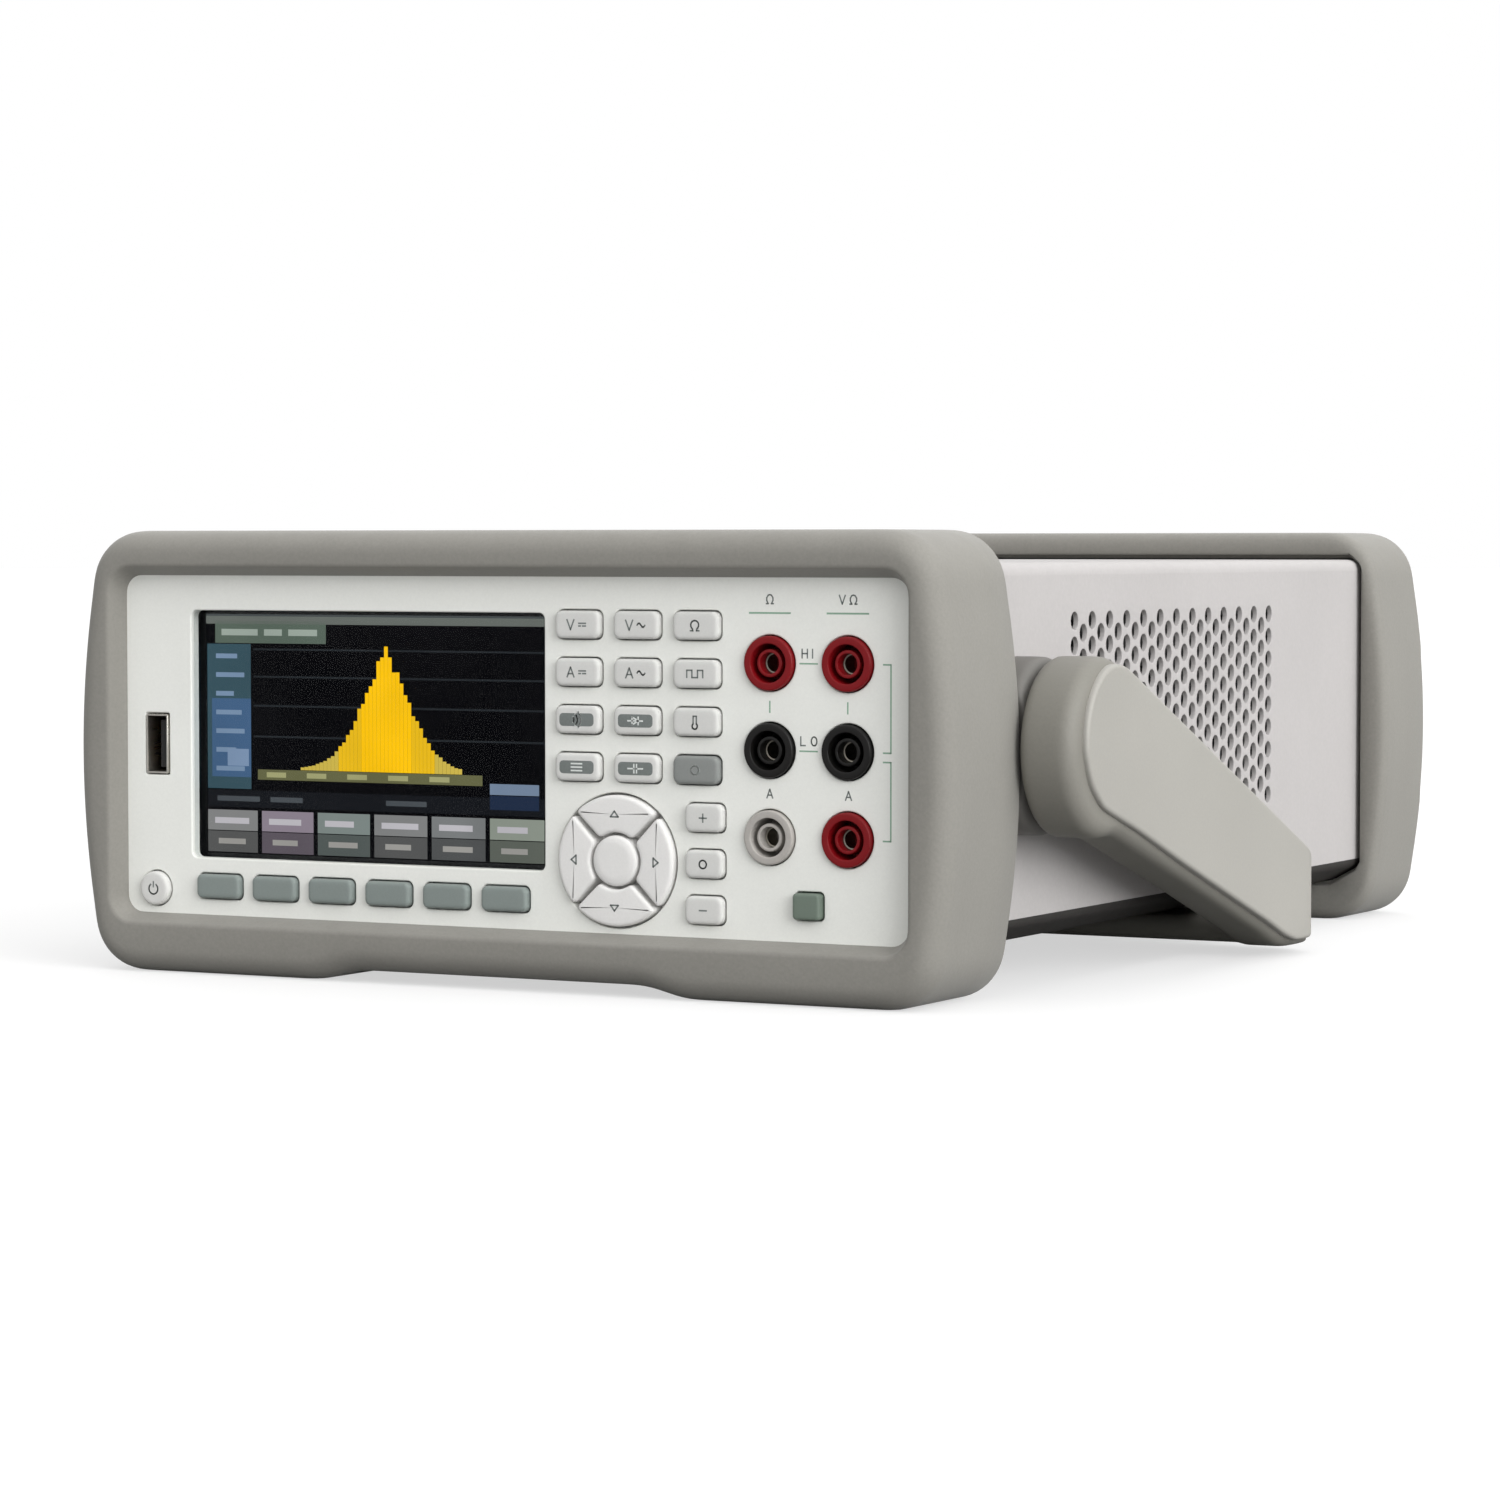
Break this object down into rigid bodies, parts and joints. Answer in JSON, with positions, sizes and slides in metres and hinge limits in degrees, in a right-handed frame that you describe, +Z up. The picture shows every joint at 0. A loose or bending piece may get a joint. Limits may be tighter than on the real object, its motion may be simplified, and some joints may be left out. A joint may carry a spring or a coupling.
{
  "type": "bench digital multimeter",
  "caption": "Half-rack bench digital multimeter with a colour graphics display, push keys, 4 mm input sockets, rubber bumpers, vented sleeve and a swinging carry handle.",
  "frame": {"origin": "centre of the footprint on the bench: mid-width, mid-depth over the bumpers, at the underside of the feet", "axes": "+Z up, -Y out of the front panel, +X to the right of a person facing the front panel"},
  "size_m": [0.261, 0.3032, 0.1038],
  "materials": {
    "bumper_rubber": "fine matte grain",
    "painted_sheet": "fine powder coat",
    "bare_sheet": "bare bright zinc-plated sheet",
    "bezel_plastic": "fine moulded texture",
    "display_window": "polished clear window with a dark border",
    "display_panel": "dark colour display panel",
    "keypad_silicone": "matte moulded silicone",
    "circuit_board": "solder mask",
    "jack_red": "semi-gloss moulded",
    "jack_black": "semi-gloss moulded",
    "jack_grey": "semi-gloss moulded",
    "connector_metal": "nickel plate",
    "handle_plastic": "fine moulded texture",
    "hub_plastic": "fine moulded texture",
    "black_plastic": "matte moulded",
    "transformer_core": "varnished laminations with a taped coil",
    "softkey_plastic": "matte keycap",
    "key_dark_plastic": "matte keycap",
    "key_plastic": "matte keycap"
  },
  "bodies": {
    "housing": {"front_bumper": "bumper_rubber", "rear_bumper": "bumper_rubber", "case_sleeve": "painted_sheet", "chassis_tray": "bare_sheet", "front_bezel": "bezel_plastic", "display_lens": "display_window", "display_module": "display_panel", "keypad_membrane": "keypad_silicone", "front_board": "circuit_board", "jack_sense_hi": "jack_red", "jack_sense_lo": "jack_black", "jack_input_hi": "jack_red", "jack_input_lo": "jack_black", "jack_current_10a": "jack_grey", "jack_current_3a": "jack_red", "front_usb_port": "connector_metal", "handle_hub_left": "hub_plastic", "handle_hub_right": "hub_plastic", "rear_panel": "bare_sheet", "fan_frame": "black_plastic", "power_inlet": "black_plastic", "rear_terminal_block": "black_plastic", "bnc_trigger_in": "connector_metal", "bnc_sync_out": "connector_metal", "lan_port": "connector_metal", "rear_usb_port": "connector_metal", "rear_fuse_cap": "black_plastic", "main_board": "circuit_board", "analog_shield": "bare_sheet", "power_transformer": "transformer_core"},
    "carry_handle": {"handle": "handle_plastic"},
    "fan_wheel": {"fan_rotor": "black_plastic"},
    "softkey_1_body": {"softkey_1": "softkey_plastic"},
    "softkey_2_body": {"softkey_2": "softkey_plastic"},
    "softkey_3_body": {"softkey_3": "softkey_plastic"},
    "softkey_4_body": {"softkey_4": "softkey_plastic"},
    "softkey_5_body": {"softkey_5": "softkey_plastic"},
    "softkey_6_body": {"softkey_6": "softkey_plastic"},
    "key_row1_col1_body": {"key_row1_col1": "key_plastic"},
    "key_row1_col2_body": {"key_row1_col2": "key_plastic"},
    "key_row1_col3_body": {"key_row1_col3": "key_plastic"},
    "key_row2_col1_body": {"key_row2_col1": "key_plastic"},
    "key_row2_col2_body": {"key_row2_col2": "key_plastic"},
    "key_row2_col3_body": {"key_row2_col3": "key_plastic"},
    "key_row3_col1_body": {"key_row3_col1": "key_plastic"},
    "key_row3_col2_body": {"key_row3_col2": "key_plastic"},
    "key_row3_col3_body": {"key_row3_col3": "key_plastic"},
    "key_row4_col1_body": {"key_row4_col1": "key_plastic"},
    "key_row4_col2_body": {"key_row4_col2": "key_plastic"},
    "key_row4_col3_body": {"key_row4_col3": "key_dark_plastic"},
    "range_up_key_body": {"range_up_key": "key_plastic"},
    "range_auto_key_body": {"range_auto_key": "key_plastic"},
    "range_down_key_body": {"range_down_key": "key_plastic"},
    "front_rear_button_body": {"front_rear_button": "softkey_plastic"},
    "arrow_right_key_body": {"arrow_right_key": "key_plastic"},
    "arrow_up_key_body": {"arrow_up_key": "key_plastic"},
    "arrow_left_key_body": {"arrow_left_key": "key_plastic"},
    "arrow_down_key_body": {"arrow_down_key": "key_plastic"},
    "select_key_body": {"select_key": "key_plastic"},
    "power_button_body": {"power_button": "key_plastic"}
  },
  "joints": [
    {"name": "handle_swing", "type": "hinge", "parent": "housing", "child": "carry_handle", "pos_m": [0, -0.0996, 0.0556], "axis": [-1, 0, 0], "range_deg": [0, 250]},
    {"name": "fan_spin", "type": "hinge", "parent": "housing", "child": "fan_wheel", "pos_m": [-0.028, 0.1244, 0.062], "axis": [0, 1, 0], "continuous": true},
    {"name": "softkey_1_press", "type": "slide", "parent": "housing", "child": "softkey_1_body", "axis": [0, 1, 0], "range_m": [0, 0.0012], "stiffness_N_per_m": 600, "springref_m": -0.0006},
    {"name": "softkey_2_press", "type": "slide", "parent": "housing", "child": "softkey_2_body", "axis": [0, 1, 0], "range_m": [0, 0.0012], "stiffness_N_per_m": 600, "springref_m": -0.0006},
    {"name": "softkey_3_press", "type": "slide", "parent": "housing", "child": "softkey_3_body", "axis": [0, 1, 0], "range_m": [0, 0.0012], "stiffness_N_per_m": 600, "springref_m": -0.0006},
    {"name": "softkey_4_press", "type": "slide", "parent": "housing", "child": "softkey_4_body", "axis": [0, 1, 0], "range_m": [0, 0.0012], "stiffness_N_per_m": 600, "springref_m": -0.0006},
    {"name": "softkey_5_press", "type": "slide", "parent": "housing", "child": "softkey_5_body", "axis": [0, 1, 0], "range_m": [0, 0.0012], "stiffness_N_per_m": 600, "springref_m": -0.0006},
    {"name": "softkey_6_press", "type": "slide", "parent": "housing", "child": "softkey_6_body", "axis": [0, 1, 0], "range_m": [0, 0.0012], "stiffness_N_per_m": 600, "springref_m": -0.0006},
    {"name": "key_row1_col1_press", "type": "slide", "parent": "housing", "child": "key_row1_col1_body", "axis": [0, 1, 0], "range_m": [0, 0.0012], "stiffness_N_per_m": 600, "springref_m": -0.0006},
    {"name": "key_row1_col2_press", "type": "slide", "parent": "housing", "child": "key_row1_col2_body", "axis": [0, 1, 0], "range_m": [0, 0.0012], "stiffness_N_per_m": 600, "springref_m": -0.0006},
    {"name": "key_row1_col3_press", "type": "slide", "parent": "housing", "child": "key_row1_col3_body", "axis": [0, 1, 0], "range_m": [0, 0.0012], "stiffness_N_per_m": 600, "springref_m": -0.0006},
    {"name": "key_row2_col1_press", "type": "slide", "parent": "housing", "child": "key_row2_col1_body", "axis": [0, 1, 0], "range_m": [0, 0.0012], "stiffness_N_per_m": 600, "springref_m": -0.0006},
    {"name": "key_row2_col2_press", "type": "slide", "parent": "housing", "child": "key_row2_col2_body", "axis": [0, 1, 0], "range_m": [0, 0.0012], "stiffness_N_per_m": 600, "springref_m": -0.0006},
    {"name": "key_row2_col3_press", "type": "slide", "parent": "housing", "child": "key_row2_col3_body", "axis": [0, 1, 0], "range_m": [0, 0.0012], "stiffness_N_per_m": 600, "springref_m": -0.0006},
    {"name": "key_row3_col1_press", "type": "slide", "parent": "housing", "child": "key_row3_col1_body", "axis": [0, 1, 0], "range_m": [0, 0.0012], "stiffness_N_per_m": 600, "springref_m": -0.0006},
    {"name": "key_row3_col2_press", "type": "slide", "parent": "housing", "child": "key_row3_col2_body", "axis": [0, 1, 0], "range_m": [0, 0.0012], "stiffness_N_per_m": 600, "springref_m": -0.0006},
    {"name": "key_row3_col3_press", "type": "slide", "parent": "housing", "child": "key_row3_col3_body", "axis": [0, 1, 0], "range_m": [0, 0.0012], "stiffness_N_per_m": 600, "springref_m": -0.0006},
    {"name": "key_row4_col1_press", "type": "slide", "parent": "housing", "child": "key_row4_col1_body", "axis": [0, 1, 0], "range_m": [0, 0.0012], "stiffness_N_per_m": 600, "springref_m": -0.0006},
    {"name": "key_row4_col2_press", "type": "slide", "parent": "housing", "child": "key_row4_col2_body", "axis": [0, 1, 0], "range_m": [0, 0.0012], "stiffness_N_per_m": 600, "springref_m": -0.0006},
    {"name": "key_row4_col3_press", "type": "slide", "parent": "housing", "child": "key_row4_col3_body", "axis": [0, 1, 0], "range_m": [0, 0.0012], "stiffness_N_per_m": 600, "springref_m": -0.0006},
    {"name": "range_up_key_press", "type": "slide", "parent": "housing", "child": "range_up_key_body", "axis": [0, 1, 0], "range_m": [0, 0.0012], "stiffness_N_per_m": 600, "springref_m": -0.0006},
    {"name": "range_auto_key_press", "type": "slide", "parent": "housing", "child": "range_auto_key_body", "axis": [0, 1, 0], "range_m": [0, 0.0012], "stiffness_N_per_m": 600, "springref_m": -0.0006},
    {"name": "range_down_key_press", "type": "slide", "parent": "housing", "child": "range_down_key_body", "axis": [0, 1, 0], "range_m": [0, 0.0012], "stiffness_N_per_m": 600, "springref_m": -0.0006},
    {"name": "front_rear_button_press", "type": "slide", "parent": "housing", "child": "front_rear_button_body", "axis": [0, 1, 0], "range_m": [0, 0.0025], "stiffness_N_per_m": 400, "springref_m": -0.001},
    {"name": "arrow_right_key_press", "type": "slide", "parent": "housing", "child": "arrow_right_key_body", "axis": [0, 1, 0], "range_m": [0, 0.0012], "stiffness_N_per_m": 600, "springref_m": -0.0006},
    {"name": "arrow_up_key_press", "type": "slide", "parent": "housing", "child": "arrow_up_key_body", "axis": [0, 1, 0], "range_m": [0, 0.0012], "stiffness_N_per_m": 600, "springref_m": -0.0006},
    {"name": "arrow_left_key_press", "type": "slide", "parent": "housing", "child": "arrow_left_key_body", "axis": [0, 1, 0], "range_m": [0, 0.0012], "stiffness_N_per_m": 600, "springref_m": -0.0006},
    {"name": "arrow_down_key_press", "type": "slide", "parent": "housing", "child": "arrow_down_key_body", "axis": [0, 1, 0], "range_m": [0, 0.0012], "stiffness_N_per_m": 600, "springref_m": -0.0006},
    {"name": "select_key_press", "type": "slide", "parent": "housing", "child": "select_key_body", "axis": [0, 1, 0], "range_m": [0, 0.0012], "stiffness_N_per_m": 600, "springref_m": -0.0006},
    {"name": "power_button_press", "type": "slide", "parent": "housing", "child": "power_button_body", "axis": [0, 1, 0], "range_m": [0, 0.0012], "stiffness_N_per_m": 700, "springref_m": -0.0006}
  ]
}
